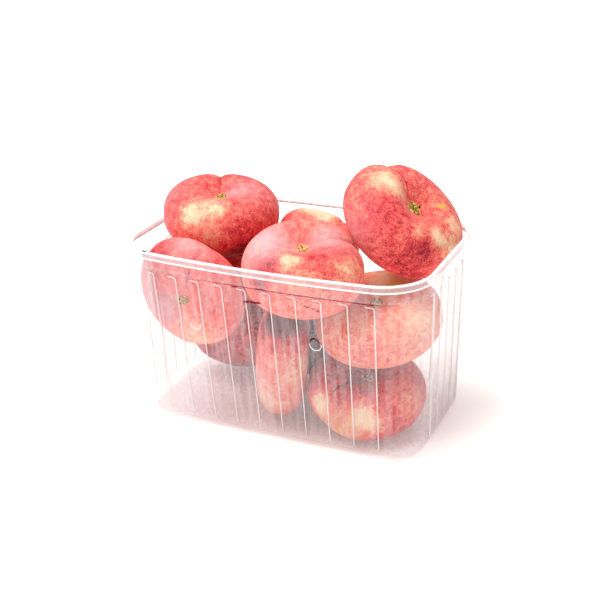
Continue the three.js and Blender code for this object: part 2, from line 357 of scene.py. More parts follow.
def clear_tray():
    """Thermoformed clear PET, pressed from thin sheet.

    The eye sees the fruit through a faint milky veil, with fine vertical drawing marks, and
    white where the sheet is stretched or bent sharply.
    """
    made, tree, shader = material("thermoformed_clear_sheet")
    whitening = node(tree, "ShaderNodeAttribute", {"attribute_name": "whitening"}).outputs["Fac"]
    place = node(tree, "ShaderNodeTexCoord").outputs["Object"]
    # Drawing marks: streaks 2.5 mm apart and about 60 mm long, up and down the wall.
    stretched = node(tree, "ShaderNodeMapping", {"Scale": (1, 1, MARK_STRETCH)}, {"Vector": place})
    marks = node(
        tree,
        "ShaderNodeTexNoise",
        {"Scale": MARKS_PER_METRE, "Detail": 3.0},
        {"Vector": stretched.outputs[0]},
    )
    edge = node(tree, "ShaderNodeLayerWeight", {"Blend": 0.3})
    streaked = node(
        tree,
        "ShaderNodeMath",
        {"operation": "MULTIPLY_ADD", 1: MARK_VEIL, 2: CLEARNESS},
        {0: marks.outputs["Fac"]},
    )
    veil = node(
        tree,
        "ShaderNodeMath",
        {"operation": "MULTIPLY_ADD", 1: EDGE_VEIL},
        {0: edge.outputs["Facing"], 2: streaked.outputs[0]},
    )
    cover = node(
        tree,
        "ShaderNodeMath",
        {"operation": "ADD", "use_clamp": True},
        {0: veil.outputs[0], 1: whitening},
    )
    tree.links.new(cover.outputs[0], shader.inputs["Alpha"])
    milk = node(
        tree,
        "ShaderNodeMix",
        {"data_type": "RGBA", 6: linear("#E9E3E6"), 7: linear("#FFFFFF")},
        {0: whitening},
    )
    tree.links.new(milk.outputs[2], shader.inputs["Base Color"])
    shader.inputs["Roughness"].default_value = 0.2
    shader.inputs["IOR"].default_value = PLASTIC_IOR
    return made


def whitened_edge_and_highlight():
    """The same sheet where it is bent sharply, so it whitens, brightened further as a painted highlight: the
    fine bright lines of the ribs.
    """
    made, tree, shader = material("whitened_sheet_and_painted_highlight")
    shader.inputs["Base Color"].default_value = linear("#FDFBFC")
    shader.inputs["Roughness"].default_value = 0.35
    shader.inputs["IOR"].default_value = PLASTIC_IOR
    shader.inputs["Alpha"].default_value = 0.62
    return made


def dried_juice_and_painted_step_line():
    """Juice dried on to the wall, and a painted dark line, the fruit's refraction in the band's step: dark
    red, thin enough to let the fruit show.
    """
    made, tree, shader = material("peach_juice_and_painted_step_line")
    shader.inputs["Base Color"].default_value = linear("#86202B")
    shader.inputs["Roughness"].default_value = 0.45
    shader.inputs["Specular IOR Level"].default_value = 0.1
    shader.inputs["Alpha"].default_value = 0.8
    return made


def white_board_with_painted_glow():
    """Matt white paper sweep under the punnet, with a glow of painted light so that it stays pure white."""
    made, tree, shader = material("matt_white_paper_with_painted_glow")
    shader.inputs["Base Color"].default_value = linear("#FCFCFC")
    place = node(tree, "ShaderNodeTexCoord").outputs["Object"]
    away = node(tree, "ShaderNodeVectorMath", {"operation": "LENGTH"}, {0: place})
    # Its painted glow rises from 50 to 250 mm off the middle, so that the shadow stays near the punnet and
    # fades further off.
    glow = node(
        tree,
        "ShaderNodeMapRange",
        {"From Min": 0.05, "From Max": 0.25, "To Min": 0.13, "To Max": 0.7},
        {"Value": away.outputs["Value"]},
    )
    shader.inputs["Emission Color"].default_value = linear("#FFF1E6")
    tree.links.new(glow.outputs["Result"], shader.inputs["Emission Strength"])
    shader.inputs["Roughness"].default_value = 0.9
    return made


SKIN = downy_skin()
SCAR = stalk_scar()
SHEET_PLASTIC = clear_tray()
WHITENED_AND_HIGHLIGHT = whitened_edge_and_highlight()

# ---------------------------------------------------------------- peaches

AROUND, DOWN = 200, 120  # points round the fruit and from stalk to blossom
POLE_CROWDING, SEAM_CROWDING = 1.45, 0.45
SQUARENESS = 2.5
CHEEK_SWELL, CHEEK_TURN, CHEEK_SPREAD = 0.02, 0.75, 0.5
TRIANGULAR = 0.012
CAVITY_SPREAD, BLOSSOM_DEPTH, BLOSSOM_SPREAD = 0.33, 0.4, 0.3
SEAM_MIDDLE, SEAM_FADE, SEAM_SPREAD, SEAM_START = 55, 58, 0.2, 12
# The seam's groove is a wide one with a sharp one in it, as shares of its depth.
SEAM_WIDE, SEAM_SHARP, SHARP_SPREAD = 0.6, 0.4, 0.3
CLEAR = 0.2  # the fine skin keeps this far inside the solid, so that neighbours stay apart
# Soft folds round the stalk cavity: height in mm, then place and spread as shares of the radius.
FOLD, FOLD_PLACE, FOLD_SPREAD = 0.35, 0.3, 0.2

# name: place, lean, toward, seam, width, thick, cavity, crease, oval, longest
PEACHES = {
    "back_left": ((-55.5, 5.6, 117.3), 8, -50, 118, 70.5, 40, 9, 3, 0.01, 20),
    "front_left": ((-53.6, -38.3, 82.5), 99, -96, 60, 69, 31, 6, 2, 0.01, 0),
    "front_middle": ((12.4, -24.4, 101.8), 16, -72, 35, 69, 45, 9, 3, 0.03, 5),
    "back_right": ((56.3, 22.1, 121), 39, -13, 150, 75, 42, 10, 5, 0.02, -13),
    "back_middle": ((-3.2, 32.3, 95.6), 20, 20, 60, 50.5, 38, 7, 2.5, 0.05, 0),
    "right": ((49.3, 2.2, 65.5), 15, -104, -160, 76, 39, 8, 2.5, 0.01, 0),
    "bottom_right": ((46.5, -10, 22.4), 15, -55, -120, 70.5, 37, 8, 2, 0.01, 30),
    "bottom_middle": ((-6.8, -13.8, 37.2), 94, 22, 80, 70, 34.6, 7, 2, 0.01, 0),
    "bottom_left": ((-54.8, 19.8, 31.1), 56, 104, 140, 60.6, 35.5, 7, 2.5, 0.01, 90),
    "left": ((-50.9, 18, 76.4), 5, 30, -60, 68, 34, 8, 2.5, 0.02, 90),
    "bottom_back": ((4.5, 32.8, 31.6), 100, 90, 30, 60, 28, 6, 2, 0.01, 0),
}

# name: general blush, then patches of it: compass angle, height angle, spread, change. Some are painted shade
# and one is a painted highlight, as noted at each.
BLUSH_AND_SHADE = {
    # back_left: the patch at (-35, -30) is painted shade on its lower right.
    "back_left": (0.62, (-94, 16, 15, -0.46), (-66, 26, 13, -0.4), (-100, 62, 12, -0.2),
                  (-72, -5, 12, -0.28), (-35, -30, 24, 0.4), (-150, 5, 25, 0.1)),
    "front_left": (0.64, (-55, -65, 34, -0.36), (-141, 54, 25, 0.1), (-56, 76, 20, -0.12),
                   (-27, 9, 25, -0.02)),
    "front_middle": (0.52, (-89, 30, 8, -0.4), (-75, 32, 7, -0.3), (-109, 20, 13, 0.3),
                     (-48, 39, 17, 0.22), (-20, 13, 10, -0.25), (-6, 30, 10, 0.1), (-71, 10, 12, -0.15),
                     (-113, 1, 9, 0.4)),
    "back_right": (0.6, (-118, 68, 17, -0.58), (-123, 24, 12, -0.05), (-98, 24, 24, 0.14),
                   (-50, -10, 13, 0.24), (-73, -20, 16, 0.15), (-62, -38, 14, 0.2), (-31, -2, 9, -0.55),
                   (-52, 9, 8, -0.3), (-13, -18, 13, -0.45), (10, -1, 12, -0.4), (43, 29, 18, -0.08)),
    "back_middle": (0.58, (108, 65, 28, -0.9), (-154, 49, 25, 0.05)),
    "right": (0.43, (-121, 18, 10, -0.25), (-94, 20, 10, -0.15), (80, 63, 28, -0.55),
              (-78, -15, 16, 0.12), (-26, 17, 16, -0.25)),
    "bottom_right": (0.78, (-124, 2, 14, -0.8), (-74, 2, 13, -0.8), (-60, -8, 12, -0.4),
                     (-98, -25, 22, -0.45), (-18, 8, 22, -0.38), (-90, 45, 20, 0.15)),
    # bottom_middle: the patch at (-58, 68) is painted shade on its top, and the paler patch at (-89, -29) is
    # a painted highlight on its lower left.
    "bottom_middle": (0.5, (-45, 8, 22, -0.22), (-89, -29, 18, -0.3), (-58, 68, 26, 0.85)),
    # bottom_left: its high general blush is painted shade deep in the punnet.
    "bottom_left": (0.85, (-60, -30, 40, -0.1)),
    "left": (0.66, (-150, 10, 30, -0.1)),
    # bottom_back: its high general blush is painted shade deep in the punnet.
    "bottom_back": (1.0, (60, 20, 40, -0.3)),
}

# name: patches of painted lilac sheen, where the down catches the light: compass angle, height angle, spread,
# amount
PAINTED_SHEEN = {
    "back_left": ((8, 55, 28, 0.55), (-160, 10, 30, 0.3)),
    "front_left": ((-140, -20, 40, 0.7), (-56, 78, 22, 0.6)),
    "front_middle": ((-145, 42, 30, 1.0), (20, 52, 24, 0.7)),
    "back_right": ((-125, 0, 25, 0.4),),
    "bottom_middle": ((-110, -20, 30, 0.8),),
}

# name: patches of straw yellow skin: compass angle, height angle, spread, amount
STRAW = {
    "right": ((60, 62, 14, 0.75),),
    "back_right": ((25, 20, 4.5, 1.0),),
    "bottom_right": ((-98, -15, 20, 0.35),),
}

# The seam's fine line: how much redder, its width in radians, and its middle and length in mm.
SEAM_LINE, SEAM_LINE_WIDTH, SEAM_LINE_MIDDLE, SEAM_LINE_LENGTH = 0.3, 0.035, 22, 14
# Flames are drawn on a drum of this radius in mm, and stretched down it.
FLAME_DRUM, FLAME_STRETCH = 35, 0.3

# name: width of the stalk scar in millimetres
SCARS = {"back_left": 8, "front_middle": 8, "back_right": 12, "back_middle": 5, "front_left": 8,
         "right": 8.5, "bottom_right": 8, "left": 3}
PLAIN_SCAR = 5.5
SCAR_AROUND = 36
SCAR_LIFT = 0.5  # how far the scar stands off the floor of the cavity
SCAR_PIT, SCAR_UNDERSIDE = -0.6, -1.5
# share of the radius, height in mm, share of raggedness, tone from pit to rim
SCAR_RINGS = (
    (0.12, -0.5, 0, 0.05),
    (0.3, -0.1, 0.3, 0.3),
    (0.5, 0.3, 0.7, 0.45),
    (0.7, 0.5, 1, 0.62),
    (0.88, 0.3, 1, 0.75),
    (1, -0.2, 0.8, 0.85),
    (1.1, -1.4, 0, 0.9),
)
PIT_TONE, UNDERSIDE_TONE = 0.0, 0.9
RAGGED_WAVES, RAGGED_OUT, RAGGED_UP, SCAR_OVAL = (2, 3, 5, 7, 9), 0.3, 0.9, 0.22
ANY_TURN = 6.28  # about one turn in radians


def direction(compass, height):
    """The arrow of length 1 that points at a compass angle and a height angle."""
    a, e = math.radians(compass), math.radians(height)
    return np.array([math.cos(a) * math.cos(e), math.sin(a) * math.cos(e), math.sin(e)])


def patches(outward, spots):
    """Sum of soft round patches on a skin, by the direction from its middle."""
    total = np.zeros(len(outward))
    for compass, height, spread, amount in spots:
        angle = np.degrees(np.arccos(np.clip(outward @ direction(compass, height), -1, 1)))
        total += amount * bell(angle, spread)
    return total


def skin_points(width, thick, cavity, crease, oval, longest, seam, polar, turn):
    """Points of the skin in the peach's own axes. `turn` is the angle from the seam."""
    radius, half = width / 2, thick / 2
    power = 2 / SQUARENESS
    from_seam = np.arctan2(np.sin(turn), np.cos(turn))
    cheeks = CHEEK_SWELL * bell(np.abs(from_seam) - CHEEK_TURN, CHEEK_SPREAD)
    long_way = oval * np.cos(2 * (turn - math.radians(longest - seam)))
    plan = 1 + long_way + cheeks + TRIANGULAR * np.cos(3 * turn + radius)
    lift = 1 + TRIANGULAR * np.cos(turn + radius)
    plan, lift = plan * (1 - CLEAR / radius), lift * (1 - CLEAR / half)
    out = radius * plan * np.sin(polar) ** power
    up = half * lift * np.sign(np.cos(polar)) * np.abs(np.cos(polar)) ** power
    folds = 1 + 0.5 * np.cos(7 * turn + thick) + 0.5 * np.cos(4 * turn + width)
    hollow = cavity * bell(out, CAVITY_SPREAD * radius)
    hollow += FOLD * folds * bell(out - FOLD_PLACE * radius, FOLD_SPREAD * radius)
    dimple = BLOSSOM_DEPTH * cavity * bell(out, BLOSSOM_SPREAD * radius)
    up = np.where(up > 0, up - hollow, up + dimple)
    along = bell(polar - math.radians(SEAM_MIDDLE), math.radians(SEAM_FADE))
    start = np.minimum(1, out / SEAM_START)
    across = SEAM_WIDE * bell(from_seam, SEAM_SPREAD)
    across += SEAM_SHARP * bell(from_seam, SHARP_SPREAD * SEAM_SPREAD)
    groove = crease * along * start * across
    shrink = 1 - groove / np.maximum(np.hypot(out, up), 1e-6)
    out, up = out * shrink, up * shrink
    return np.stack([out * np.cos(turn), out * np.sin(turn), up], -1)


def scar_points(width, draw):
    """The torn cup at the bottom of the stalk cavity: pit, ragged rim and skirt."""
    turn = 2 * np.pi * np.arange(SCAR_AROUND) / SCAR_AROUND
    ragged = np.zeros(SCAR_AROUND)
    for waves in RAGGED_WAVES:
        depth = draw.uniform(0.4, 1)
        ragged += depth * np.cos(waves * turn + draw.uniform(0, ANY_TURN))
    ragged /= len(RAGGED_WAVES) / 2
    plan = 1 + SCAR_OVAL * np.cos(2 * turn + draw.uniform(0, ANY_TURN))
    rings, tones = [], []
    for share, height, torn, tone in SCAR_RINGS:
        out = 0.5 * width * share * plan * (1 + RAGGED_OUT * torn * ragged)
        wave = RAGGED_UP * torn * np.roll(ragged, 7)
        rings.append(np.stack([out * np.cos(turn), out * np.sin(turn), height + wave], -1))
        tones.append(np.full(SCAR_AROUND, tone))
    points = np.vstack([[[0, 0, SCAR_PIT]]] + rings + [[[0, 0, SCAR_UNDERSIDE]]])
    tones = np.concatenate([[PIT_TONE]] + tones + [[UNDERSIDE_TONE]])
    return points, tones, closed_skin(len(rings), SCAR_AROUND, 0, len(points) - 1)


def stand_up(lean, toward, seam):
    """Turns a peach so that its stalk leans toward a compass angle and its seam faces another."""
    spin = Matrix.Rotation(math.radians(seam - toward), 3, "Z")
    tip = Matrix.Rotation(math.radians(lean), 3, "Y")
    return np.array(Matrix.Rotation(math.radians(toward), 3, "Z") @ tip @ spin)


def grow_peach(name):
    """One peach: skin and scar in their place, with what the materials read off each point."""
    place, lean, toward, seam, width, thick, cavity, crease, oval, longest = PEACHES[name]
    polar = np.pi * (np.arange(1, DOWN) / DOWN) ** POLE_CROWDING
    even = 2 * np.pi * np.arange(AROUND) / AROUND
    turn = even - SEAM_CROWDING * np.sin(even)
    polar, turn = (grid.ravel() for grid in np.meshgrid(polar, turn, indexing="ij"))
    polar = np.concatenate([[0], polar, [np.pi]])
    turn = np.concatenate([[0], turn, [0]])
    skin = skin_points(width, thick, cavity, crease, oval, longest, seam, polar, turn)
    skin_faces = closed_skin(DOWN - 1, AROUND, 0, len(skin) - 1)
    draw = np.random.default_rng(len(name) * 7 + int(width * 10))

    # The scar sits on the floor of the cavity.
    scar, tones, scar_faces = scar_points(SCARS.get(name, PLAIN_SCAR), draw)
    scar[:, 2] += skin[0, 2] + SCAR_LIFT
    points = np.vstack([skin, scar])
    faces = list(skin_faces) + [tuple(v + len(skin) for v in f) for f in scar_faces]

    placed = points @ stand_up(lean, toward, seam).T
    made = piece("fruit_" + name, placed + np.array(place), faces, SKIN, SCAR)
    made.data.polygons.foreach_set("material_index", [0] * len(skin_faces) + [1] * len(scar_faces))

    outward = placed / np.linalg.norm(placed, axis=1)[:, None]
    general, *spots = BLUSH_AND_SHADE[name]
    shift = draw.uniform(0, 500, 3)
    round_it = np.concatenate([turn, np.zeros(len(scar))])
    reach = np.concatenate([polar * width / 2, np.zeros(len(scar))])
    # A fine darker line runs down the seam.
    from_seam = np.arctan2(np.sin(round_it), np.cos(round_it))
    seam_line = SEAM_LINE * bell(from_seam, SEAM_LINE_WIDTH)
    seam_line *= bell(reach - SEAM_LINE_MIDDLE, SEAM_LINE_LENGTH)
    # The blush and its patches include painted shade and a painted highlight.
    blush = general + patches(outward, spots) + seam_line
    blush[len(skin):] = tones
    drum_x, drum_y = FLAME_DRUM * np.cos(round_it), FLAME_DRUM * np.sin(round_it)
    flame = np.stack([drum_x, drum_y, FLAME_STRETCH * reach], -1) + shift
    paint(made.data, "blush", blush)
    paint(made.data, "painted_sheen", np.clip(patches(outward, PAINTED_SHEEN.get(name, ())), 0, 1))
    paint(made.data, "straw", np.clip(patches(outward, STRAW.get(name, ())), 0, 1))
    paint(made.data, "grain", points + shift, "FLOAT_VECTOR")
    paint(made.data, "flame", flame, "FLOAT_VECTOR")
    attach(made, "root")
    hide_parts("peach_" + name)


for fruit in PEACHES:
    grow_peach(fruit)

# ---------------------------------------------------------------- tray

HEIGHT, SHEET = 113, 0.7
TOP_HALF_LENGTH, TOP_HALF_WIDTH, TOP_CORNER = 91.7, 56.2, 25
BASE_HALF_LENGTH, BASE_HALF_WIDTH, BASE_CORNER = 90.5, 46.7, 16
TOP_BOW = 6
FOOT_RADIUS = 6
BAND_BOTTOM, BAND_STEP, BAND_CHAMFER = 101.7, 0.6, 0.9
LIP_OUT, LIP_DROP, LIP_CHAMFER = 1.9, 4.3, 0.6
RIB_HALF_WIDTH, RIB_DEPTH, RIB_TOP, RIB_FOOT, RIB_FADE = 2.8, 1, 99.6, 8, 2.7
RIB_FLANK, RIB_ROUND = 0.9, 2
BASE_WHITENING = 0.03
# How many ribs on a side, their pitch, how far they close up at the base, and how far the row
# is off the middle.
LONG_SIDE, SHORT_SIDE = (10, 15.1, 0.995, -2.3), (5, 14, 0.9, 0)
CORNER_STEPS = 14
# Where the wall is drawn across a rib, and, as shares of the way, between two ribs.
RIB_STATIONS = np.array([-3.1, -2.8, -2.5, -2.2, -1.9, 0, 1.9, 2.2, 2.5, 2.8, 3.1])
FLAT_STATIONS = (0.25, 0.5, 0.75)
OFF_RIB = 9.0  # an offset in mm at which a rib no longer rises
VENT_X, VENT_Z, VENT_RADIUS, VENT_FLAP_DROP = (-43, 33), 72, 3.4, 1.5
VENT_SIDES, CRESCENT_LENGTH, FLAP_LENGTH = 40, 20, 40
# The bright bent edges, drawn as fine beads: stress whitening, with a painted highlight on the right flanks
# that face the light.
BEAD_SIDES = 6
RIB_LINE, RIB_LINE_FOOT, RIB_LINE_RADIUS, VENT_LINE_RADIUS = 2.5, 6, 0.37, 0.35
RIB_LINE_TOP, RIB_LINE_ROUND = 99.2, 1.6
RIB_ROW_STAND_OFF = 200
# Smears of juice, and near 101 mm high a painted dark line, the fruit's refraction in the band's step: middle
# x and height, half length, half thickness, slope
JUICE_AND_PAINTED_STEP_LINE = (
    (22, 100.9, 58, 0.22, 0.0),
    (-3.6, 92.1, 5.4, 1.05, 0.03),
    (-13.4, 100.4, 2.4, 0.65, 0.2),
    (2.2, 101.2, 3.5, 0.4, 0.0),
    (29.4, 94.4, 1.6, 0.3, -0.2),
    (33.8, 94.2, 0.9, 0.35, 0.3),
    (36.5, 93.2, 0.9, 0.4, -0.1),
    (62, 100.8, 6, 0.4, 0.0),
)
SMEAR_RISE = 0.25
SMEAR_END, SMEAR_WAVE, SMEAR_WAVE_TURN = 0.12, 0.25, 1.9
FEWEST_STEPS = 9


def mix(a, b, share):
    """The value that lies a share of the way from a to b."""
    return a + (b - a) * share


def outline(z, inset):
    """Half length, half width and corner radius of the wall at a height."""
    up = z / HEIGHT
    length = mix(BASE_HALF_LENGTH, TOP_HALF_LENGTH, up) - inset
    width = mix(BASE_HALF_WIDTH, TOP_HALF_WIDTH, up) - inset
    return length, width, mix(BASE_CORNER, TOP_CORNER, up) - inset


def side_y(x, z, inset):
    """How far the front and back walls stand from the middle, with their bow."""
    length, width, corner = outline(z, inset)
    past = np.maximum(0, np.abs(x) - (length - corner))
    bow = TOP_BOW * z / HEIGHT * (1 - (x / length) ** 2)
    return width - corner + np.sqrt(corner**2 - past**2) + bow


def end_x(y, z, inset):
    """How far the end walls stand from the middle."""
    length, width, corner = outline(z, inset)
    past = np.maximum(0, np.abs(y) - (width - corner))
    return length - corner + np.sqrt(corner**2 - past**2)


def rib_rise(offset, z):
    """How far a rib stands out, at an offset from its middle. Its top end is round."""
    side = RIB_HALF_WIDTH - np.abs(offset)
    top = RIB_TOP - z
    deep_side, deep_top = side - RIB_ROUND, top - RIB_ROUND
    rounded = RIB_ROUND - np.hypot(np.minimum(deep_side, 0), np.minimum(deep_top, 0))
    inside = np.where((deep_side < 0) & (deep_top < 0), rounded, np.minimum(side, top))
    return RIB_DEPTH * ease(inside / RIB_FLANK) * ease((z - RIB_FADE) / (RIB_FOOT - RIB_FADE))


def rib_middles(count, pitch, closing, shift, z):
    """Where the ribs of one side stand at a height, and the gap from one to the next."""
    gap = pitch * mix(closing, 1, z / HEIGHT)
    return (np.arange(count) - (count - 1) / 2) * gap + shift, gap


def stations(side, z):
    """Positions along one side, with where each lies from the nearest rib's middle."""
    middles, gap = rib_middles(*side, z)
    clear = gap - 2 * RIB_STATIONS[-1]
    places, offsets = [], []
    for middle in middles:
        places += list(middle + RIB_STATIONS)
        offsets += list(RIB_STATIONS)
        if middle < middles[-1]:
            places += [middle + RIB_STATIONS[-1] + share * clear for share in FLAT_STATIONS]
            offsets += [OFF_RIB] * len(FLAT_STATIONS)
    return np.array(places), np.array(offsets)


def wall_round(z, inset, ribbed):
    """One round of the wall, anticlockwise from the front left corner."""
    xs, from_rib = stations(LONG_SIDE, z)
    ys, from_short_rib = stations(SHORT_SIDE, z)
    front = np.stack([xs, -side_y(xs, z, inset) - ribbed * rib_rise(from_rib, z)], -1)
    right = np.stack([end_x(ys, z, inset) + ribbed * rib_rise(from_short_rib, z), ys], -1)
    length, width, corner = outline(z, inset)
    start = math.asin(max(0, xs[-1] - (length - corner)) / corner)
    end = math.acos(max(0, ys[-1] - (width - corner)) / corner)
    angle = mix(start, end, (np.arange(CORNER_STEPS) + 0.5) / CORNER_STEPS)
    x = length - corner + corner * np.sin(angle)
    bow = TOP_BOW * z / HEIGHT * (1 - (x / length) ** 2)
    front_right = np.stack([x, -(width - corner + corner * np.cos(angle)) - bow], -1)
    back_right = (front_right * [1, -1])[::-1]
    half = np.vstack([front, front_right, right, back_right])
    whole = np.vstack([half, -half])
    return np.column_stack([whole, np.full(len(whole), z)])


def foot_inset(z, radius):
    """How far the rounded foot draws the wall in at a height."""
    below = max(radius - z, 0)
    return radius - math.sqrt(radius**2 - below**2)


def tray_rounds():
    """Height, inset, ribs and whitening of every round, up the inside and down the outside."""
    foot = [1 - math.cos(math.radians(a)) for a in range(0, 91, 10)]
    # Heights up the ribbed wall, close together where the ribs end.
    climb = [9, 12, 30, 50, 70, 85, 94, 96.5, 97.2, 97.7, 98.1, 98.5, 98.9, 99.3, 99.7, 100.3]
    # The step of the smooth band: height, share of the step left, whitening
    band = [(BAND_BOTTOM, 1, 0.0), (BAND_BOTTOM + 0.3, 0.85, 0.12), (BAND_BOTTOM + 0.6, 0.3, 0.05),
            (BAND_BOTTOM + BAND_CHAMFER, 0, 0), (105, 0, 0), (108, 0, 0)]
    inner = FOOT_RADIUS - SHEET
    rounds = [(SHEET + inner * h, SHEET + BAND_STEP + foot_inset(inner * h, inner), 1, 0.05) for h in foot]
    rounds += [(z, SHEET + BAND_STEP, 1, 0) for z in climb]
    rounds += [(z, SHEET + BAND_STEP * share, 0, white) for z, share, white in band]
    top, skirt = HEIGHT, HEIGHT - LIP_DROP
    rounds += [(top - 1.6, SHEET, 0, 0.05), (top - LIP_CHAMFER, SHEET, 0, 0.5),
               (top - 0.15, SHEET - 0.2, 0, 0.85), (top, SHEET - LIP_CHAMFER, 0, 0.95),
               (top, LIP_CHAMFER - LIP_OUT, 0, 0.95), (top - 0.15, 0.2 - LIP_OUT, 0, 0.9),
               (top - LIP_CHAMFER, -LIP_OUT, 0, 0.6), (top - 1.2, -LIP_OUT, 0, 0.06),
               (skirt + 1.3, -LIP_OUT, 0, 0.06), (skirt + 0.7, -LIP_OUT, 0, 0.8), (skirt, -LIP_OUT, 0, 0.95),
               (skirt, SHEET - LIP_OUT, 0, 0.6), (skirt + 0.7, SHEET - LIP_OUT, 0, 0.1),
               (top - SHEET, SHEET - LIP_OUT, 0, 0.05), (top - SHEET, 0, 0, 0.05)]
    rounds += [(z, BAND_STEP * share, 0, white) for z, share, white in band[::-1]]
    rounds += [(z, BAND_STEP, 1, 0) for z in climb[::-1]]
    rounds += [(FOOT_RADIUS * h, BAND_STEP + foot_inset(FOOT_RADIUS * h, FOOT_RADIUS), 1, 0.05)
               for h in foot[::-1]]
    return rounds


def press_tray():
    """The whole sheet as one closed skin, inside and outside."""
    rounds = tray_rounds()
    rings = [wall_round(z, inset, ribbed) for z, inset, ribbed, _ in rounds]
    count = len(rings[0])
    points = np.vstack([[[0, 0, SHEET]]] + rings + [[[0, 0, 0]]])
    middle = [BASE_WHITENING]
    white = np.concatenate([middle] + [np.full(count, w) for *_, w in rounds] + [middle])
    faces = closed_skin(len(rings), count, 0, len(points) - 1)
    made = piece("tray", points, faces, SHEET_PLASTIC)
    paint(made.data, "whitening", white)
    return made


def vent_bar(x, drop, length):
    """A round bar through the front wall, in millimetres."""
    turn = 2 * np.pi * np.arange(VENT_SIDES) / VENT_SIDES
    wall, height = -(BASE_HALF_WIDTH + TOP_HALF_WIDTH) / 2, VENT_Z - drop
    near_end, far_end = wall - length / 2, wall + length / 2
    ring_x, ring_z = x + VENT_RADIUS * np.cos(turn), height + VENT_RADIUS * np.sin(turn)
    near, far = (np.stack([ring_x, np.full(VENT_SIDES, end), ring_z], -1) for end in (near_end, far_end))
    points = np.vstack([[[x, near_end, height]], near, far, [[x, far_end, height]]])
    return piece("bar", points, closed_skin(2, VENT_SIDES, 0, len(points) - 1), smooth=False)


def cut(target, tool):
    """Cuts one mesh by another and drops the tool."""
    step = target.modifiers.new("cut", "BOOLEAN")
    step.operation = "DIFFERENCE"
    step.solver = "EXACT"
    step.object = tool
    shaped = bpy.data.meshes.new_from_object(target.evaluated_get(bpy.context.evaluated_depsgraph_get()))
    target.modifiers.remove(step)
    target.data = shaped
    bpy.data.objects.remove(tool)


tray = press_tray()
for vent_x in VENT_X:
    crescent = vent_bar(vent_x, 0, CRESCENT_LENGTH)
    cut(crescent, vent_bar(vent_x, VENT_FLAP_DROP, FLAP_LENGTH))
    cut(tray, crescent)


def rib_edge_path():
    """One rib's bright edge, stress whitening with a painted highlight, as a chain of points: up its right
    flank, across the top to the left.
    """
    bend_x, bend_z = RIB_LINE - RIB_LINE_ROUND, RIB_LINE_TOP - RIB_LINE_ROUND
    flank = [(RIB_LINE, z) for z in np.linspace(RIB_LINE_FOOT, bend_z, 24)]
    bend = [(bend_x + RIB_LINE_ROUND * math.cos(a), bend_z + RIB_LINE_ROUND * math.sin(a))
            for a in np.radians(np.arange(15, 91, 15))]
    path = flank + bend + [(x, RIB_LINE_TOP) for x in np.linspace(bend_x, -RIB_LINE, 5)[1:]]
    mesh = bpy.data.meshes.new("rib_edge_path")
    mesh.from_pydata([(x * MM, 0, z * MM) for x, z in path], [(i, i + 1) for i in range(len(path) - 1)], [])
    return mesh


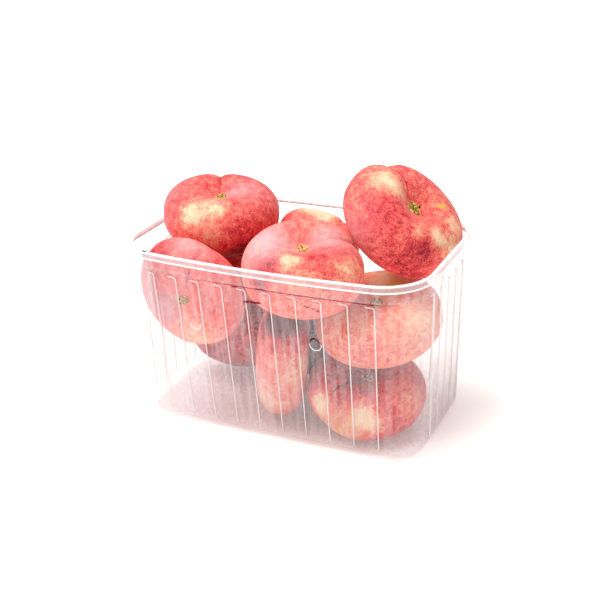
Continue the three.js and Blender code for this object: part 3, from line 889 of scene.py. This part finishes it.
def ribs_along_a_wall():
    """Node tree: repeats a rib's edge along one side and lays it on the wall as a fine bead."""
    tree = bpy.data.node_groups.new("ribs_along_a_wall", "GeometryNodeTree")
    new = tree.interface.new_socket
    new("Geometry", in_out="INPUT", socket_type="NodeSocketGeometry")
    new("Ribs", in_out="INPUT", socket_type="NodeSocketInt")
    for name in ("Pitch", "Closing", "Shift", "Height", "Side", "Stand off", "Line"):
        new(name, in_out="INPUT", socket_type="NodeSocketFloat")
    new("Wall", in_out="INPUT", socket_type="NodeSocketObject")
    new("Edge", in_out="INPUT", socket_type="NodeSocketMaterial")
    new("Geometry", in_out="OUTPUT", socket_type="NodeSocketGeometry")
    given = tree.nodes.new("NodeGroupInput").outputs

    # A row of ribs, middle at x = 0, standing in front of the wall.
    gaps = node(tree, "ShaderNodeMath", {"operation": "SUBTRACT", 1: 1.0}, {0: given["Ribs"]})
    half = node(tree, "ShaderNodeMath", {"operation": "MULTIPLY"}, {0: gaps.outputs[0], 1: given["Pitch"]})
    first = node(tree, "ShaderNodeMath", {"operation": "MULTIPLY", 1: -0.5}, {0: half.outputs[0]})
    away = node(tree, "ShaderNodeMath", {"operation": "MULTIPLY", 1: -1.0}, {0: given["Stand off"]})
    start = node(tree, "ShaderNodeCombineXYZ", None, {"X": first.outputs[0], "Y": away.outputs[0]})
    apart = node(tree, "ShaderNodeCombineXYZ", None, {"X": given["Pitch"]})
    row = node(tree, "GeometryNodeMeshLine", {"mode": "OFFSET"},
               {"Count": given["Ribs"], "Start Location": start.outputs[0], "Offset": apart.outputs[0]})
    copies = node(tree, "GeometryNodeInstanceOnPoints", None,
                  {"Points": row.outputs[0], "Instance": given["Geometry"]})
    edges = node(tree, "GeometryNodeRealizeInstances", None, {"Geometry": copies.outputs[0]})

    # They close up towards the base.
    where = node(tree, "GeometryNodeInputPosition")
    parts = node(tree, "ShaderNodeSeparateXYZ", None, {0: where.outputs[0]})
    share = node(tree, "ShaderNodeMath", {"operation": "DIVIDE"}, {0: parts.outputs["Z"], 1: given["Height"]})
    closing = node(tree, "ShaderNodeMix", {"data_type": "FLOAT", 3: 1.0},
                   {0: share.outputs[0], 2: given["Closing"]})
    closed = node(tree, "ShaderNodeMath", {"operation": "MULTIPLY_ADD"},
                  {0: parts.outputs["X"], 1: closing.outputs[0], 2: given["Shift"]})
    moved = node(tree, "ShaderNodeCombineXYZ", None,
                 {"X": closed.outputs[0], "Y": parts.outputs["Y"], "Z": parts.outputs["Z"]})
    gathered = node(tree, "GeometryNodeSetPosition", None,
                    {"Geometry": edges.outputs[0], "Position": moved.outputs[0]})

    # The wall is turned to face the row, and each point is laid on it.
    wall = node(tree, "GeometryNodeObjectInfo", None, {"Object": given["Wall"]})
    back = node(tree, "ShaderNodeMath", {"operation": "MULTIPLY", 1: -1.0}, {0: given["Side"]})
    unturn = node(tree, "ShaderNodeCombineXYZ", None, {"Z": back.outputs[0]})
    facing = node(tree, "GeometryNodeTransform", None,
                  {"Geometry": wall.outputs["Geometry"], "Rotation": unturn.outputs[0]})
    ray = node(tree, "GeometryNodeRaycast", {"Ray Direction": (0, 1, 0), "Ray Length": 1.0},
               {"Target Geometry": facing.outputs[0]})
    laid = node(tree, "GeometryNodeSetPosition", None,
                {"Geometry": gathered.outputs[0], "Selection": ray.outputs["Is Hit"],
                 "Position": ray.outputs["Hit Position"]})
    line = node(tree, "GeometryNodeMeshToCurve", None, {"Mesh": laid.outputs[0]})
    round_wire = node(tree, "GeometryNodeCurvePrimitiveCircle", {"Resolution": BEAD_SIDES},
                      {"Radius": given["Line"]})
    bead = node(tree, "GeometryNodeCurveToMesh", {"Fill Caps": True},
                {"Curve": line.outputs[0], "Profile Curve": round_wire.outputs[0]})
    turn = node(tree, "ShaderNodeCombineXYZ", None, {"Z": given["Side"]})
    placed = node(tree, "GeometryNodeTransform", None,
                  {"Geometry": bead.outputs[0], "Rotation": turn.outputs[0]})
    smooth = node(tree, "GeometryNodeSetShadeSmooth", None, {"Geometry": placed.outputs[0]})
    real = node(tree, "GeometryNodeRealizeInstances", None, {"Geometry": smooth.outputs[0]})
    dressed = node(tree, "GeometryNodeSetMaterial", None,
                   {"Geometry": real.outputs[0], "Material": given["Edge"]})
    node(tree, "NodeGroupOutput", None, {"Geometry": dressed.outputs[0]})
    return tree


def draw_rib_edges(wall):
    """The bright edges of the ribs on all four sides, as one plain mesh."""
    tree = ribs_along_a_wall()
    sockets = {s.name: s.identifier for s in tree.interface.items_tree if s.in_out == "INPUT"}
    sides = []
    for turn in (0, 90, 180, 270):
        count, pitch, closing, shift = LONG_SIDE if turn % 180 == 0 else SHORT_SIDE
        host = bpy.data.objects.new("ribs_%d" % turn, rib_edge_path())
        scene.collection.objects.link(host)
        step = host.modifiers.new("ribs", "NODES")
        step.node_group = tree
        for name, value in {
            "Ribs": count,
            "Pitch": pitch * MM,
            "Closing": closing,
            "Shift": shift * MM,
            "Height": HEIGHT * MM,
            "Side": math.radians(turn),
            "Stand off": RIB_ROW_STAND_OFF * MM,
            "Line": RIB_LINE_RADIUS * MM,
            "Wall": wall,
            "Edge": WHITENED_AND_HIGHLIGHT,
        }.items():
            step[sockets[name]] = value
        host.data.update()
        drawn = host.evaluated_get(bpy.context.evaluated_depsgraph_get())
        sides.append(bpy.data.meshes.new_from_object(drawn))
        bpy.data.objects.remove(host)
    points, faces = [], []
    for mesh in sides:
        faces += [tuple(v + len(points) for v in p.vertices) for p in mesh.polygons]
        points += [tuple(v.co / MM) for v in mesh.vertices]
    return piece("rib_edges", points, faces, WHITENED_AND_HIGHLIGHT)


def front_face(xs, zs):
    """The y of the front wall's outside at each place, ribs and all."""
    faces = []
    for x, z in zip(xs, zs):
        middles, _ = rib_middles(*LONG_SIDE, z)
        faces.append(-side_y(x, z, BAND_STEP) - rib_rise(np.abs(middles - x).min(), z))
    return np.array(faces)


def bead_faces(first, rounds):
    """Faces of a bead of `rounds` rings, both ends closed, that starts at point `first`."""
    faces = []
    for i in range(rounds - 1):
        for j in range(BEAD_SIDES):
            a = first + i * BEAD_SIDES + j
            b = first + i * BEAD_SIDES + (j + 1) % BEAD_SIDES
            faces.append((a, b, b + BEAD_SIDES, a + BEAD_SIDES))
    last = first + (rounds - 1) * BEAD_SIDES
    faces.append(tuple(first + j for j in reversed(range(BEAD_SIDES))))
    faces.append(tuple(last + j for j in range(BEAD_SIDES)))
    return faces


AROUND_BEAD = np.arange(BEAD_SIDES) * 2 * math.pi / BEAD_SIDES


def vent_lips():
    """The bent lower rim of each vent's flap: half a ring that lies on the wall."""
    points, faces = [], []
    sweep = np.radians(np.arange(170, 371, 10))
    for x in VENT_X:
        faces += bead_faces(len(points), len(sweep))
        for a in sweep:
            px = x + VENT_RADIUS * math.cos(a)
            pz = VENT_Z - VENT_FLAP_DROP + VENT_RADIUS * math.sin(a)
            py = -side_y(px, pz, BAND_STEP)
            for b in AROUND_BEAD:
                out, back = VENT_LINE_RADIUS * math.cos(b), VENT_LINE_RADIUS * math.sin(b)
                points.append((px + out * math.cos(a), py + back, pz + out * math.sin(a)))
    return piece("vent_lips", points, faces, WHITENED_AND_HIGHLIGHT)


def juice_smears():
    """Smears of dried juice on the outside of the front wall, and a painted dark line along the band's step
    for the fruit's refraction in it, each a thin bead drawn out along it.
    """
    points, faces = [], []
    for x, z, half_length, half_thick, slope in JUICE_AND_PAINTED_STEP_LINE:
        shares = np.linspace(-1, 1, max(FEWEST_STEPS, int(half_length) + 1))
        xs, zs = x + half_length * shares, z + slope * half_length * shares
        uneven = 1 - SMEAR_WAVE + SMEAR_WAVE * np.cos(SMEAR_WAVE_TURN * xs)
        taper = np.maximum(SMEAR_END, np.sqrt(1 - shares**2)) * uneven
        faces += bead_faces(len(points), len(shares))
        for px, py, pz, wide in zip(xs, front_face(xs, zs), zs, half_thick * taper):
            for b in AROUND_BEAD:
                points.append((px, py + SMEAR_RISE * math.cos(b), pz + wide * math.sin(b)))
    return piece("juice_smears", points, faces, dried_juice_and_painted_step_line())


for trim in (juice_smears(), draw_rib_edges(tray), vent_lips()):
    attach(trim, "root")

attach(tray, "root")
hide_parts("punnet")

# ---------------------------------------------------------------- floor

FLOOR_REACH, FLOOR_TOP = 4000, -0.3
corners = [(-1, -1), (1, -1), (1, 1), (-1, 1)]
floor_points = [(FLOOR_REACH * x, FLOOR_REACH * y, FLOOR_TOP) for x, y in corners]
floor = piece("floor", floor_points, [(0, 1, 2, 3)], white_board_with_painted_glow())
